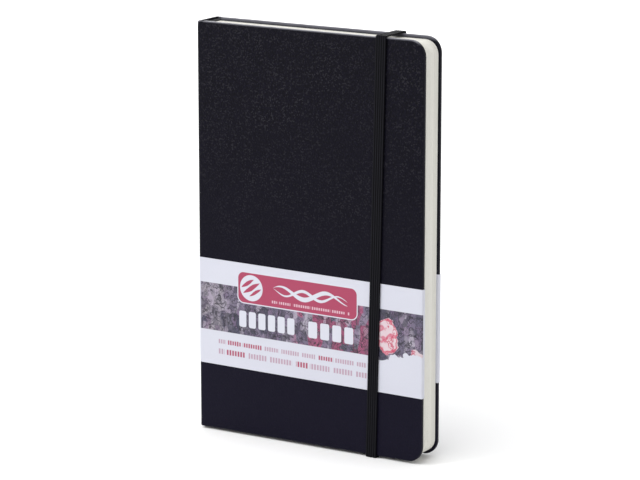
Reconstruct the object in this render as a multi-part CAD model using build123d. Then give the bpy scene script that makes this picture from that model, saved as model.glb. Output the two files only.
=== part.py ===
from build123d import *
import os

# A pocket sketchbook with hard covers, standing on its tail as on a shelf.
# +Z is up the page, +X points to the fore-edge, and the front cover faces -Y.
# The origin is under the middle of the book, at its lowest point. Millimetres.

# ---- driving dimensions ----
COVER_WIDTH = 130.0       # spine to fore-edge, over the case
COVER_HEIGHT = 210.0      # tail to head
BOOK_THICKNESS = 18.0     # over both covers, without band and elastic
CORNER_RADIUS = 8.0       # fore-edge corners of the covers

COVER_STACK = 2.2         # covering + board + turn-in + pastedown
WRAP_THICKNESS = 0.35     # imitation leather covering
PASTEDOWN_THICKNESS = 0.15
EDGE_ROUNDING = 0.8       # outer edges of the covers
TURN_IN_WIDTH = 14.0      # covering folded over onto the inner face
SPINE_DEPTH = 2.2         # outer spine face to the hinge line
SPINE_ROUNDING = 1.2
SPINE_STRIP_THICKNESS = 1.0
SPINE_STRIP_WIDTH = 15.6

SECTION_COUNT = 10
SHEETS_PER_SECTION = 4    # each folded once, so 8 leaves a section and 80 in all
LEAF_THICKNESS = 0.155
SECTION_GAP = 0.016
FLYLEAF_THICKNESS = 0.2
BLOCK_THICKNESS = 13.0    # both flyleaves and every section
BLOCK_RECESS = 1.7        # covers stand this far past the leaves at head and tail
FORE_EDGE_RECESS = 1.0
LEAF_CORNER_RADIUS = 7.0

ELASTIC_WIDTH = 6.0
ELASTIC_THICKNESS = 0.9
ELASTIC_FACE_GAP = 0.25   # between the elastic and the cover faces; the band lies in it
ELASTIC_EDGE_GAP = 0.1    # between the elastic and the head and tail edges
ELASTIC_HEAD_X = 41.4     # middle of the elastic at the head
ELASTIC_TAIL_X = 36.7     # middle of the elastic at the tail: it lies at a slight slant
SLOT_INSET = 8.0          # slot in the back cover, from the head or tail edge
SLOT_HEIGHT = 1.0
ANCHOR_LENGTH = 14.0      # glued end under the back pastedown
ANCHOR_THICKNESS = 0.5

BAND_BOTTOM = 33.0        # above the tail edge of the covers
BAND_HEIGHT = 55.0
BAND_THICKNESS = 0.15
BAND_GAP = 0.03
FLAP_LENGTH = 45.0        # band folded in behind each cover
BAND_LIFT_FRONT_SPINE = 1.2   # the band sits askew: this much higher here than at the
BAND_LIFT_BACK_SPINE = 1.6    # front cover's fore-edge, where BAND_BOTTOM is measured
BAND_LIFT_BACK_EDGE = 4.4

THREAD_DEPTH = 0.3
THREAD_STATIONS = 6       # sewing stations up the spine
THREAD_RUN = 12.0         # height of one link stitch
LINING_MARGIN = 11.0      # bare block back above and below the lining
HEADBAND_WIDTH = 2.0
HEADBAND_HEIGHT = 0.9

# ---- places worked out from them ----
SPINE_X = -COVER_WIDTH / 2
FORE_EDGE_X = COVER_WIDTH / 2
HALF = BOOK_THICKNESS / 2
TAIL_Z = ELASTIC_THICKNESS + ELASTIC_EDGE_GAP
HEAD_Z = TAIL_Z + COVER_HEIGHT
TOP_Z = HEAD_Z + TAIL_Z
HINGE_X = SPINE_X + SPINE_DEPTH
HINGE_CUT = 0.05          # each cover starts this far past its hinge line
BLOCK_BACK_X = HINGE_X + 0.2
BLOCK_FORE_X = FORE_EDGE_X - FORE_EDGE_RECESS
BLOCK_TAIL_Z = TAIL_Z + BLOCK_RECESS
BLOCK_HEAD_Z = HEAD_Z - BLOCK_RECESS
BLOCK_HALF = BLOCK_THICKNESS / 2
BOARD_THICKNESS = COVER_STACK - 2 * WRAP_THICKNESS - PASTEDOWN_THICKNESS
ELASTIC_INNER_Y = HALF + ELASTIC_FACE_GAP
ELASTIC_OUTER_Y = ELASTIC_INNER_Y + ELASTIC_THICKNESS
BODY_GAP = 0.02           # between two bodies that meet face to face


def slab(x0, x1, y0, y1, z0, z1):
    """A box between two corners."""
    middle = Pos((x0 + x1) / 2, (y0 + y1) / 2, (z0 + z1) / 2)
    return middle * Box(x1 - x0, y1 - y0, z1 - z0)


def leaf(x0, x1, y0, y1, z0, z1, radius):
    """A box with its two fore-edge corners rounded in the plane of the page."""
    box = slab(x0, x1, y0, y1, z0, z1)
    corners = box.edges().filter_by(Axis.Y).group_by(Axis.X)[-1]
    return fillet(corners, radius)


def mirrored(solid, back):
    """The same piece for the back cover when back is true."""
    return mirror(solid, about=Plane.XZ) if back else solid


# ---- covers, drawn for the front and mirrored for the back ----
def cover_blank():
    """The outside of a cover without its pastedown: flat, with softened outer edges."""
    inner_y = -HALF + COVER_STACK - PASTEDOWN_THICKNESS
    left = HINGE_X + HINGE_CUT
    blank = leaf(left, FORE_EDGE_X, -HALF, inner_y, TAIL_Z, HEAD_Z, CORNER_RADIUS)
    rim = [
        edge
        for edge in blank.faces().sort_by(Axis.Y)[0].edges()
        if edge.center().X > left + 1
    ]
    return fillet(rim, EDGE_ROUNDING)


def cover_board():
    """The stiff board inside the covering."""
    outer_y = -HALF + WRAP_THICKNESS
    board = leaf(
        HINGE_X + HINGE_CUT, FORE_EDGE_X - WRAP_THICKNESS,
        outer_y, outer_y + BOARD_THICKNESS,
        TAIL_Z + WRAP_THICKNESS, HEAD_Z - WRAP_THICKNESS,
        CORNER_RADIUS - WRAP_THICKNESS,
    )
    rim = [
        edge
        for edge in board.faces().sort_by(Axis.Y)[0].edges()
        if edge.center().X > HINGE_X + 1
    ]
    return fillet(rim, EDGE_ROUNDING - WRAP_THICKNESS)


def turn_in_window():
    """The part of the inner face that the turned-in covering leaves bare."""
    board_y = -HALF + WRAP_THICKNESS + BOARD_THICKNESS
    return slab(
        HINGE_X + HINGE_CUT, FORE_EDGE_X - TURN_IN_WIDTH,
        board_y, board_y + WRAP_THICKNESS,
        TAIL_Z + TURN_IN_WIDTH, HEAD_Z - TURN_IN_WIDTH,
    )


def cover_wrap():
    """Imitation leather over the board, turned in at head, tail and fore-edge."""
    return cover_blank() - cover_board() - turn_in_window()


def pastedown():
    """The endpaper half that is glued to the inner face, over the turn-ins."""
    inner_y = -HALF + COVER_STACK
    sheet = leaf(
        HINGE_X + HINGE_CUT, BLOCK_FORE_X - 0.5,
        inner_y - PASTEDOWN_THICKNESS, inner_y,
        BLOCK_TAIL_Z + 0.5, BLOCK_HEAD_Z - 0.5, LEAF_CORNER_RADIUS,
    )
    return sheet + turn_in_window()


# ---- elastic closure ----
def slot_z(at_head):
    return HEAD_Z - SLOT_INSET if at_head else TAIL_Z + SLOT_INSET


def elastic_x(at_head):
    return ELASTIC_HEAD_X if at_head else ELASTIC_TAIL_X


def elastic_strip(at_head, y0, y1, z0, z1):
    """A plain length of the elastic at the head or at the tail."""
    middle = elastic_x(at_head)
    return slab(middle - ELASTIC_WIDTH / 2, middle + ELASTIC_WIDTH / 2, y0, y1, z0, z1)


def elastic_slot(at_head):
    """The slot that lets the elastic through the back cover, and its glued end's bed."""
    z = slot_z(at_head)
    into = -1 if at_head else 1
    board_y = HALF - WRAP_THICKNESS - BOARD_THICKNESS
    through = elastic_strip(
        at_head, board_y, HALF, z - SLOT_HEIGHT / 2, z + SLOT_HEIGHT / 2
    )
    ends = sorted((z - into * SLOT_HEIGHT / 2, z + into * ANCHOR_LENGTH))
    bed = elastic_strip(at_head, board_y, board_y + ANCHOR_THICKNESS, *ends)
    return through + bed


def elastic_end(at_head):
    """The anchored end: glued tab, the pass through the slot, and the run to the edge."""
    z = slot_z(at_head)
    into = -1 if at_head else 1
    board_y = HALF - WRAP_THICKNESS - BOARD_THICKNESS
    near, far = z - into * SLOT_HEIGHT / 2, z + into * ANCHOR_LENGTH
    tab = elastic_strip(
        at_head, board_y, board_y + ANCHOR_THICKNESS, min(near, far), max(near, far)
    )
    through = elastic_strip(
        at_head, board_y, ELASTIC_OUTER_Y, z - SLOT_HEIGHT / 2, z + SLOT_HEIGHT / 2
    )
    edge_z = TOP_Z if at_head else 0.0
    low, high = min(z, edge_z), max(z, edge_z)
    outside = elastic_strip(at_head, ELASTIC_INNER_Y, ELASTIC_OUTER_Y, low, high)
    return tab + through + outside


def elastic_arm(at_head):
    """The length that crosses the head or the tail from cover to cover."""
    z0 = TOP_Z - ELASTIC_THICKNESS if at_head else 0.0
    reach = ELASTIC_INNER_Y - BODY_GAP
    return elastic_strip(at_head, -reach, reach, z0, z0 + ELASTIC_THICKNESS)


def elastic_front():
    """The long run down the front cover, at its slight slant."""
    half = ELASTIC_WIDTH / 2
    with BuildPart() as run:
        with BuildSketch(Plane.XZ.offset(ELASTIC_INNER_Y)):
            with BuildLine():
                Polyline(
                    (ELASTIC_TAIL_X - half, 0),
                    (ELASTIC_TAIL_X + half, 0),
                    (ELASTIC_HEAD_X + half, TOP_Z),
                    (ELASTIC_HEAD_X - half, TOP_Z),
                    close=True,
                )
            make_face()
        extrude(amount=ELASTIC_THICKNESS)
    return run.part


# ---- paper band ----
def band_ring():
    """The band's paper round the spine, over both covers and in behind them, left tall."""
    z0, z1 = TAIL_Z, HEAD_Z
    outer = BAND_GAP + BAND_THICKNESS
    sleeve = slab(SPINE_X - outer, FORE_EDGE_X + outer, -HALF - outer, HALF + outer, z0, z1)
    case = slab(
        SPINE_X - BAND_GAP, FORE_EDGE_X + BAND_GAP, -HALF - BAND_GAP, HALF + BAND_GAP, z0, z1
    )
    flap_outer = HALF - COVER_STACK - BAND_GAP
    flap_inner = flap_outer - BAND_THICKNESS
    sleeve = sleeve - case
    mouth = slab(FORE_EDGE_X, FORE_EDGE_X + outer, -flap_inner, flap_inner, z0, z1)
    sleeve = sleeve - mouth
    for side in (-1, 1):
        low, high = sorted((side * flap_inner, side * flap_outer))
        flap = slab(FORE_EDGE_X - FLAP_LENGTH, FORE_EDGE_X + outer, low, high, z0, z1)
        sleeve = sleeve + flap
    return sleeve


def band_cut(points, across, reach):
    """A prism between the band's two slanted edges. points are (place, lift) pairs along it."""
    low = TAIL_Z + BAND_BOTTOM
    edge = [(place, low + lift) for place, lift in points]
    edge += [(place, low + BAND_HEIGHT + lift) for place, lift in reversed(points)]
    corners = [(a, reach[0], z) if across == "y" else (reach[0], a, z) for a, z in edge]
    face = make_face(Polyline(*corners, close=True))
    direction = (0, 1, 0) if across == "y" else (1, 0, 0)
    return extrude(face, amount=reach[1] - reach[0], dir=direction)


def band_cover_panel(back):
    """The band over one cover, with its flap folded in behind that cover."""
    start, fold, end = HINGE_X + 0.3, FORE_EDGE_X - 0.5, FORE_EDGE_X + 1
    at_spine = BAND_LIFT_BACK_SPINE if back else BAND_LIFT_FRONT_SPINE
    at_edge = BAND_LIFT_BACK_EDGE if back else 0.0
    middle = HALF - COVER_STACK / 2
    shown = (middle, HALF + 1) if back else (-HALF - 1, -middle)
    hidden = (0, middle) if back else (-middle, 0)
    outside = band_cut([(start, at_spine), (fold, at_edge), (end, at_edge)], "y", shown)
    inside = band_cut([(start, at_edge), (end, at_edge)], "y", hidden)
    return (band_ring() & outside) + (band_ring() & inside)


def band_spine_panel():
    edges = [(-HALF - 1, BAND_LIFT_FRONT_SPINE), (HALF + 1, BAND_LIFT_BACK_SPINE)]
    return band_ring() & band_cut(edges, "x", (SPINE_X - 1, HINGE_X - HINGE_CUT))


# ---- spine ----
def spine_wrap():
    """Covering round the spine, from hinge line to hinge line."""
    outer = slab(SPINE_X, HINGE_X, -HALF, HALF, TAIL_Z, HEAD_Z)
    outer = fillet(outer.edges().filter_by(Axis.Z).group_by(Axis.X)[0], SPINE_ROUNDING)
    inside = HALF - WRAP_THICKNESS
    inner = slab(SPINE_X + WRAP_THICKNESS, HINGE_X, -inside, inside, TAIL_Z, HEAD_Z)
    inner_edges = inner.edges().filter_by(Axis.Z).group_by(Axis.X)[0]
    return outer - fillet(inner_edges, SPINE_ROUNDING - WRAP_THICKNESS)


def spine_strip():
    """The card that stiffens the spine."""
    x0 = SPINE_X + WRAP_THICKNESS
    half = SPINE_STRIP_WIDTH / 2
    return slab(
        x0, x0 + SPINE_STRIP_THICKNESS, -half, half,
        TAIL_Z + WRAP_THICKNESS, HEAD_Z - WRAP_THICKNESS,
    )


def spine_lining():
    """Gauze and paper glued over the stitched back of the block."""
    x0 = SPINE_X + WRAP_THICKNESS + SPINE_STRIP_THICKNESS
    return slab(
        x0, BLOCK_BACK_X - THREAD_DEPTH, -BLOCK_HALF, BLOCK_HALF,
        BLOCK_TAIL_Z + LINING_MARGIN, BLOCK_HEAD_Z - LINING_MARGIN,
    )


def sewing_threads():
    """Link stitches across the folds, one flat run at each sewing station."""
    bottom = BLOCK_TAIL_Z + LINING_MARGIN
    top = BLOCK_HEAD_Z - LINING_MARGIN
    pitch = (top - bottom) / THREAD_STATIONS
    half = BLOCK_HALF - FLYLEAF_THICKNESS
    runs = []
    for station in range(THREAD_STATIONS):
        middle = bottom + pitch * (station + 0.5)
        low, high = middle - THREAD_RUN / 2, middle + THREAD_RUN / 2
        runs.append(slab(BLOCK_BACK_X - THREAD_DEPTH, BLOCK_BACK_X, -half, half, low, high))
    return runs


def headband(at_head):
    """The woven bead that hides the folds at the head or the tail of the spine."""
    gap = BODY_GAP
    z0 = BLOCK_HEAD_Z + gap if at_head else BLOCK_TAIL_Z - gap - HEADBAND_HEIGHT
    x0 = BLOCK_BACK_X - THREAD_DEPTH
    bead = slab(x0, x0 + HEADBAND_WIDTH, -BLOCK_HALF, BLOCK_HALF, z0, z0 + HEADBAND_HEIGHT)
    outside = 1 if at_head else 0
    crown = bead.edges().filter_by(Axis.Y).group_by(Axis.Z)[-outside].sort_by(Axis.X)[-1]
    return fillet(crown, HEADBAND_HEIGHT / 2)


# ---- leaves ----
def flyleaf(back):
    """The free half of an endpaper."""
    low, high = -BLOCK_HALF, -BLOCK_HALF + FLYLEAF_THICKNESS
    if back:
        low, high = -high, -low
    return leaf(
        BLOCK_BACK_X, BLOCK_FORE_X, low, high, BLOCK_TAIL_Z, BLOCK_HEAD_Z, LEAF_CORNER_RADIUS
    )


def folded_sheet(y0, y1, depth):
    """One folded sheet: two leaves joined at the spine, nested depth sheets deep."""
    x0 = BLOCK_BACK_X + depth * LEAF_THICKNESS
    whole = leaf(x0, BLOCK_FORE_X, y0, y1, BLOCK_TAIL_Z, BLOCK_HEAD_Z, LEAF_CORNER_RADIUS)
    inside = slab(
        x0 + LEAF_THICKNESS, FORE_EDGE_X, y0 + LEAF_THICKNESS, y1 - LEAF_THICKNESS, 0, TOP_Z
    )
    return whole - inside if depth < SHEETS_PER_SECTION - 1 else whole - centre_fold(x0, y0, y1)


def centre_fold(x0, y0, y1):
    """The hair-thin opening between the two middle leaves of a section."""
    middle, half_gap = (y0 + y1) / 2, LEAF_THICKNESS / 50
    return slab(x0 + LEAF_THICKNESS, FORE_EDGE_X, middle - half_gap, middle + half_gap, 0, TOP_Z)


def section(number):
    """A sewn section: nested folded sheets, as separate solids."""
    first = -BLOCK_HALF + FLYLEAF_THICKNESS
    pitch = (BLOCK_THICKNESS - 2 * FLYLEAF_THICKNESS) / SECTION_COUNT
    y0 = first + (number - 1) * pitch + SECTION_GAP / 2
    y1 = first + number * pitch - SECTION_GAP / 2
    return [
        folded_sheet(y0 + depth * LEAF_THICKNESS, y1 - depth * LEAF_THICKNESS, depth)
        for depth in range(SHEETS_PER_SECTION)
    ]


# ---- everything, by node name ----
def nodes():
    made = {}
    for name, back in (("front", False), ("back", True)):
        board, wrap = mirrored(cover_board(), back), mirrored(cover_wrap(), back)
        if back:
            for at_head in (True, False):
                board = board - elastic_slot(at_head)
                wrap = wrap - elastic_slot(at_head)
        made[f"{name}_cover_board"] = board
        made[f"{name}_cover_wrap"] = wrap
        made[f"{name}_pastedown"] = mirrored(pastedown(), back)
        made[f"{name}_flyleaf"] = flyleaf(back)
    made["spine_wrap"] = spine_wrap()
    made["spine_strip"] = spine_strip()
    made["spine_lining"] = spine_lining()
    made["sewing_threads"] = sewing_threads()
    for number in range(1, SECTION_COUNT + 1):
        made[f"section_{number:02d}"] = section(number)
    for place, at_head in (("head", True), ("tail", False)):
        made[f"{place}_headband"] = headband(at_head)
        made[f"elastic_{place}_end"] = elastic_end(at_head)
        made[f"elastic_{place}_arm"] = elastic_arm(at_head)
    made["elastic_front_run"] = elastic_front()
    made["band_spine_panel"] = band_spine_panel()
    made["band_front_panel"] = band_cover_panel(False)
    made["band_back_panel"] = band_cover_panel(True)
    return made


def write_parts():
    os.makedirs("parts", exist_ok=True)
    for name, shape in nodes().items():
        solids = shape if isinstance(shape, list) else shape.solids()
        whole = Compound(children=list(solids)) if len(solids) > 1 else solids[0]
        export_step(whole, f"parts/{name}.step")


write_parts()
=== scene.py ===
import functools
import math
import random

import bmesh
import bpy
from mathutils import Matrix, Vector


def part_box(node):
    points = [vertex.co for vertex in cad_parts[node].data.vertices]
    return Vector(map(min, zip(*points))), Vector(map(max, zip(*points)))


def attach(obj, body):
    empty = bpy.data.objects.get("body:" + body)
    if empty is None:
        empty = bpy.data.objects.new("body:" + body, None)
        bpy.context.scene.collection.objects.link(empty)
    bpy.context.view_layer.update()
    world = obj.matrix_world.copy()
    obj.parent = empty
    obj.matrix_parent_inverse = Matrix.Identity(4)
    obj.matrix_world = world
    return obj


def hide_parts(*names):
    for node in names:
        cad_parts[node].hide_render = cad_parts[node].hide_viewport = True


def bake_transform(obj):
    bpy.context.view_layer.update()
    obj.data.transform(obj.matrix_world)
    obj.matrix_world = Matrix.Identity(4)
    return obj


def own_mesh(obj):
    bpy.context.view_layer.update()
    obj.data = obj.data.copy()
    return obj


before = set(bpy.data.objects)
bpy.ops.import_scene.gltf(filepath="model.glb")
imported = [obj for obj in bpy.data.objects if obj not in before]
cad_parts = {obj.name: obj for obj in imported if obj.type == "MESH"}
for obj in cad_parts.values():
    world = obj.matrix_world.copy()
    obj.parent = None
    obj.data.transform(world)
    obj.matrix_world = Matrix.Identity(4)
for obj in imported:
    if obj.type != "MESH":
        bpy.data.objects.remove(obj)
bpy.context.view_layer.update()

# The sketchbook's looks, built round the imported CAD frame. Lengths here are in
# millimetres until a mesh is made; every place is worked out from the CAD nodes.
MM = 0.001
random.seed(13)


def box_mm(node):
    low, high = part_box(node)
    return low / MM, high / MM


# ---- places from the frame ----
wrap_low, wrap_high = box_mm("front_cover_wrap")
lining_low, lining_high = box_mm("spine_lining")
paste_low, paste_high = box_mm("front_pastedown")
fly_low, fly_high = box_mm("front_flyleaf")
run_low, run_high = box_mm("elastic_front_run")
band_low, band_high = box_mm("band_front_panel")
SPINE_X, FORE_X = box_mm("spine_wrap")[0].x, wrap_high.x
TAIL_Z, HEAD_Z = wrap_low.z, wrap_high.z
FACE_Y = -wrap_low.y
COVER_T = wrap_high.y - wrap_low.y
BLOCK_X, BLOCK_FORE_X = fly_low.x, fly_high.x
BLOCK_TAIL, BLOCK_HEAD = fly_low.z, fly_high.z
BLOCK_Y = -fly_low.y

CORNER_R = 8.0            # fore-edge corners of the covers
LEAF_R = 7.0              # fore-edge corners of the leaves
SPINE_R = 1.2
SKIN = 0.35               # imitation leather
THIN = 0.74               # covering folded on itself, with no board inside
EDGE_R = 0.8              # outer edge of a cover
INNER_R = 0.45            # its inner edge
FACE_MARGIN = 16.0        # where the flat middle of a cover starts
TURN_IN = 14.0
SPINE_TURN_IN = 11.9
JOIN_X = SPINE_X + 1.8    # covers' covering meets the spine's
BOARD_X = SPINE_X + 4.7   # boards stop short of the spine to leave a joint
JOINT_X = BOARD_X - 0.2   # the flexible joint lies between JOIN_X and here
STRIP_INNER = SPINE_X + 1.7
SHEETS = 4                # folded sheets in a section
ELASTIC_WIDTH = 6.0
SHARP = 40                # degrees: a steeper edge than this is shaded sharp


# ---- mesh helpers ----
def placed(name, data):
    """A new object in the scene."""
    obj = bpy.data.objects.new(name, data)
    bpy.context.scene.collection.objects.link(obj)
    return obj


def add_mesh(name, points, faces, material, attributes=None, sharp=SHARP):
    """A mesh object from points in millimetres. Where each point is at rest stays with it."""
    mesh = bpy.data.meshes.new(name)
    mesh.from_pydata([Vector(p) * MM for p in points], [], faces)
    for key, values in (attributes or {}).items():
        if isinstance(values[0], float):
            mesh.attributes.new(key, "FLOAT", "POINT").data.foreach_set("value", values)
        else:
            layer = mesh.attributes.new(key, "FLOAT_VECTOR", "POINT")
            layer.data.foreach_set("vector", [c for v in values for c in v])
    work = bmesh.new()
    work.from_mesh(mesh)
    bmesh.ops.recalc_face_normals(work, faces=work.faces)
    work.to_mesh(mesh)
    work.free()
    keep_rest(mesh)
    mesh.polygons.foreach_set("use_smooth", [True] * len(mesh.polygons))
    mesh.set_sharp_from_angle(angle=math.radians(sharp))
    mesh.materials.append(material)
    return placed(name, mesh)


def keep_rest(mesh):
    """Stores each point's rest place, in millimetres: a pattern stays put on a bent piece."""
    if "rest" in mesh.attributes:
        mesh.attributes.remove(mesh.attributes["rest"])
    layer = mesh.attributes.new("rest", "FLOAT_VECTOR", "POINT")
    layer.data.foreach_set("vector", [c / MM for v in mesh.vertices for c in v.co])


def loft(loops):
    """Points and faces of a closed solid through loops of equal length."""
    size = len(loops[0])
    points = [p for loop in loops for p in loop]
    faces = []
    for row in range(len(loops) - 1):
        for n in range(size):
            a, b = row * size + n, row * size + (n + 1) % size
            faces.append((a, b, b + size, a + size))
    faces.append(tuple(range(size)))
    faces.append(tuple(range(len(points) - size, len(points))))
    return points, faces


def quarter(steps):
    return [math.pi / 2 * k / steps for k in range(steps + 1)]


def ease(value, start, end):
    t = min(1.0, max(0.0, (value - start) / (end - start)))
    return t * t * (3 - 2 * t)


def flipped(points, back):
    """The same points for the back of the book when back is true."""
    return [(x, -y, z) for x, y, z in points] if back else points


def normals_2d(path):
    """Unit normals of a line of (x, y) points, on its left."""
    out = []
    for n in range(len(path)):
        a, b = path[max(n - 1, 0)], path[min(n + 1, len(path) - 1)]
        dx, dy = b[0] - a[0], b[1] - a[1]
        length = math.hypot(dx, dy)
        out.append((-dy / length, dx / length))
    return out


# ---- covers ----
def rim_profile(thickness, turn_in):
    """(inset, depth) pairs over a wrapped edge: outer face, edge, turn-in and back inside.

    Steps 0 to 3 are on the face, 4 to 11 round the outer edge, 12 to 17 round the inner edge
    and 18 on are on the turn-in and inside.
    """
    outer = min(EDGE_R, 0.6 * thickness)
    inner = min(INNER_R, 0.35 * thickness)
    under = thickness - SKIN
    pairs = [(FACE_MARGIN, 0), (6, 0), (2, 0), (outer + 0.25, 0)]
    pairs += [(outer - outer * math.sin(a), outer - outer * math.cos(a)) for a in quarter(7)]
    pairs += [
        (inner - inner * math.cos(a), thickness - inner + inner * math.sin(a)) for a in quarter(5)
    ]
    pairs += [(2, thickness), (turn_in - 0.3, thickness), (turn_in, thickness - 0.15)]
    pairs += [(turn_in, under), (2, under), (SKIN, under)]
    pairs += [(SKIN, SKIN), (2, SKIN), (6, SKIN), (FACE_MARGIN, SKIN)]
    return pairs


def outline(x1, z0, z1, radius, inset, stations):
    """(x, z) points round a cover or sheet, from the hinge at the tail to the hinge at the head."""
    r = max(radius - inset, 0.25)
    x1, z0, z1 = x1 - inset, z0 + inset, z1 - inset
    tail = [(x, z0) for x in stations]
    corner = [(x1 - r + r * math.sin(a), z0 + r - r * math.cos(a)) for a in quarter(12)]
    side = [(x1, z0 + r + (z1 - z0 - 2 * r) * part) for part in (0.02, 0.25, 0.5, 0.75, 0.98)]
    return tail + corner + side + [(x, z0 + z1 - z) for x, z in reversed(tail + corner)]


def fill(start, count, stations):
    """Faces over the inside of an outline: strips across the hinge zone, then one flat face."""
    faces = []
    for k in range(stations - 1):
        faces.append((start + k, start + k + 1, start + count - 2 - k, start + count - 1 - k))
    faces.append(tuple(range(start + stations - 1, start + count - stations + 1)))
    return faces


def rings_to_faces(rings, stations):
    """Faces of a closed solid made of outlines, with its inside filled and its hinge end closed."""
    count = len(rings[0])
    faces = []
    for row in range(len(rings) - 1):
        for n in range(count - 1):
            a = row * count + n
            faces.append((a, a + 1, a + count + 1, a + count))
    last = (len(rings) - 1) * count
    faces += fill(0, count, stations) + fill(last, count, stations)
    tail_end = [row * count for row in range(len(rings))]
    head_end = [row * count + count - 1 for row in reversed(range(len(rings)))]
    faces.append(tuple(tail_end + head_end))
    return faces


def column_shape(x):
    """Thickness and turn-in of a cover's edge at x: the joint has no board in it."""
    near = ease(x, BOARD_X - 1.5, BOARD_X)
    return THIN + (COVER_T - THIN) * near, SPINE_TURN_IN + (TURN_IN - SPINE_TURN_IN) * near


joint_stations = [JOIN_X + (BOARD_X - JOIN_X) * k / 14 for k in range(15)]
cover_stations = joint_stations + [-58.0, -50.0, -25.0, 0.0, 25.0, 44.0]

# How worn the covering is at each step of rim_profile: fully round the edge, less beside it.
# The same weights also place the painted highlight along the head edge.
RIM_WEAR_AND_HIGHLIGHT = {5: 0.1, 6: 0.3, 7: 0.6, **{j: 1.0 for j in range(8, 17)}, 17: 0.8, 18: 0.5}


def covering(name, back, material):
    """A cover's covering with its turn-ins, thin in the joint and full over the board."""
    rings, wear = [], []
    full = rim_profile(COVER_T, TURN_IN)
    for j, (inset, depth) in enumerate(full):
        points = outline(FORE_X, TAIL_Z, HEAD_Z, CORNER_R, inset, cover_stations)
        ring = []
        for n, (x, z) in enumerate(points):
            if min(n, len(points) - 1 - n) < len(cover_stations):
                side, deep = rim_profile(*column_shape(x))[j]
                z = TAIL_Z + side if n < len(points) / 2 else HEAD_Z - side
            else:
                deep = depth
            ring.append((x, deep - FACE_Y, z))
        rings.append(ring)
        wear += [RIM_WEAR_AND_HIGHLIGHT.get(j, 0.0)] * len(ring)
    points = flipped([p for ring in rings for p in ring], back)
    faces = rings_to_faces(rings, len(cover_stations))
    return add_mesh(name, points, faces, material, {"wear": wear})


def spine_covering(name, material):
    """Covering round the spine with its ends folded over, from joint to joint."""
    centre = (SPINE_X + SPINE_R, -FACE_Y + SPINE_R)
    path = [((JOIN_X, -FACE_Y), (JOIN_X, THIN - FACE_Y))]
    path.append(((JOIN_X - 0.25, -FACE_Y), (JOIN_X - 0.12, THIN + 0.03 - FACE_Y)))
    for a in quarter(10):
        outer = (centre[0] - SPINE_R * math.sin(a), centre[1] - SPINE_R * math.cos(a))
        path.append((outer, (STRIP_INNER, 0.8 + 0.8 * a / math.pi - FACE_Y)))
    for y in (centre[1] + 0.4, -5.0, -2.5):   # down one half of the spine's flat
        path.append(((SPINE_X, y), (STRIP_INNER, y)))
    middle = ((SPINE_X, 0.0), (STRIP_INNER, 0.0))
    path += [middle] + [((o[0], -o[1]), (i[0], -i[1])) for o, i in reversed(path)]
    loops, wear = [], []
    for outer, inner in path:
        dx, dy = inner[0] - outer[0], inner[1] - outer[1]
        thickness = math.hypot(dx, dy)
        profile = rim_profile(thickness, SPINE_TURN_IN)
        ends = [(inset + TAIL_Z, depth) for inset, depth in profile]
        ends += [(HEAD_Z - inset, depth) for inset, depth in reversed(profile)]
        loops.append([
            (outer[0] + dx / thickness * deep, outer[1] + dy / thickness * deep, z)
            for z, deep in ends
        ])
        round_corner = SPINE_X + 0.05 < outer[0] < SPINE_X + SPINE_R - 0.05
        half = [1.0 if 5 <= j <= 10 else 0.6 if round_corner and j < 5 else 0.0
                for j in range(len(profile))]
        wear += half + half[::-1]
    return add_mesh(name, *loft(loops), material, {"wear": wear})


def plate(name, back, material, x1, z0, z1, radius, depths, stations):
    """A closed sheet or board with rounded fore-edge corners. depths are (inset, y) pairs."""
    rings = []
    for inset, y in depths:
        rings.append([(x, y, z) for x, z in outline(x1, z0, z1, radius, inset, stations)])
    points = flipped([p for ring in rings for p in ring], back)
    return add_mesh(name, points, rings_to_faces(rings, len(stations)), material)


def cut(obj, cutters):
    """Takes boxes, as pairs of corners in millimetres, out of a piece."""
    for low, high in cutters:
        corners = [(low[1], low[2]), (high[1], low[2]), (high[1], high[2]), (low[1], high[2])]
        loops = [[(x, y, z) for y, z in corners] for x in (low[0], high[0])]
        tool = add_mesh("cutter", *loft(loops), obj.data.materials[0], {"wear": [0.5] * 8})
        work = obj.modifiers.new("cut", "BOOLEAN")
        work.operation, work.solver, work.object = "DIFFERENCE", "EXACT", tool
        solid = obj.evaluated_get(bpy.context.evaluated_depsgraph_get())
        made = bpy.data.meshes.new_from_object(solid)
        obj.modifiers.clear()
        old, obj.data = obj.data, made
        bpy.data.meshes.remove(old)
        shape = tool.data
        bpy.data.objects.remove(tool)
        bpy.data.meshes.remove(shape)
    while len(obj.data.materials) > 1:
        obj.data.materials.pop()
    obj.data.polygons.foreach_set("material_index", [0] * len(obj.data.polygons))
    obj.data.set_sharp_from_angle(angle=math.radians(SHARP))
    keep_rest(obj.data)


# ---- thin sheets that bend ----
def sheet(name, path, thickness, reach, material, rows=1, extra=None, sharp=SHARP):
    """A closed thin sheet along (x, y) points; reach gives its lowest and highest z at each."""
    loops, values = [], []
    for n, ((x, y), (nx, ny)) in enumerate(zip(path, normals_2d(path))):
        low, high = reach(n, x, y)
        heights = [low + (high - low) * k / rows for k in range(rows + 1)]
        left = [(x + nx * thickness / 2, y + ny * thickness / 2, z) for z in heights]
        right = [(x - nx * thickness / 2, y - ny * thickness / 2, z) for z in reversed(heights)]
        loops.append(left + right)
        if extra:
            values += [extra(n, z, 1.0) for z in heights]
            values += [extra(n, z, 0.0) for z in reversed(heights)]
    return add_mesh(name, *loft(loops), material, {"print": values} if extra else None, sharp)


def leaf_reach(x, shift=0.0):
    """Lowest and highest z of a leaf at x, with its rounded fore-edge corners."""
    past = max(0.0, min(LEAF_R, x - (BLOCK_FORE_X - LEAF_R)))
    rise = LEAF_R - math.sqrt(LEAF_R ** 2 - past ** 2)
    return BLOCK_TAIL + rise + shift, BLOCK_HEAD - rise + shift


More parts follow.
